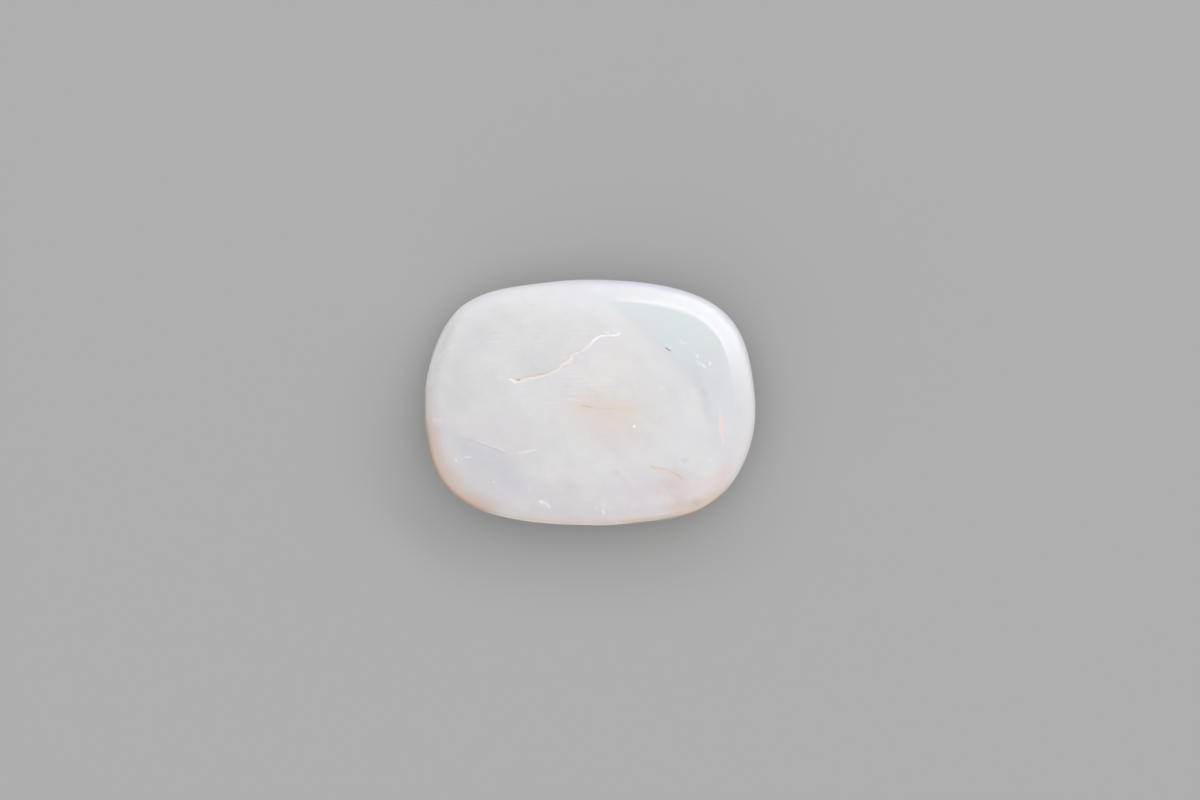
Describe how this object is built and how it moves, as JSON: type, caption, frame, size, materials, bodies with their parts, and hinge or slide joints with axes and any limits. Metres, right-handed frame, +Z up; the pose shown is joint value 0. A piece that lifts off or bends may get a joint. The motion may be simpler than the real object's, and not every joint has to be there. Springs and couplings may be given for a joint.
{
  "type": "polished white opal",
  "caption": "Cushion-shaped polished white opal with a low domed face, a bevelled border and a flat back. It lies on its back as a display stone.",
  "frame": {"origin": "under the middle of the stone's bounding box, on the flat back that it lies on", "axes": "+Z up, out of the polished face; +X along the stone's length; +Y across it"},
  "size_m": [0.02, 0.0148, 0.0042],
  "materials": {
    "opal": "polished"
  },
  "bodies": {
    "root": {"opal": "opal"}
  },
  "joints": []
}
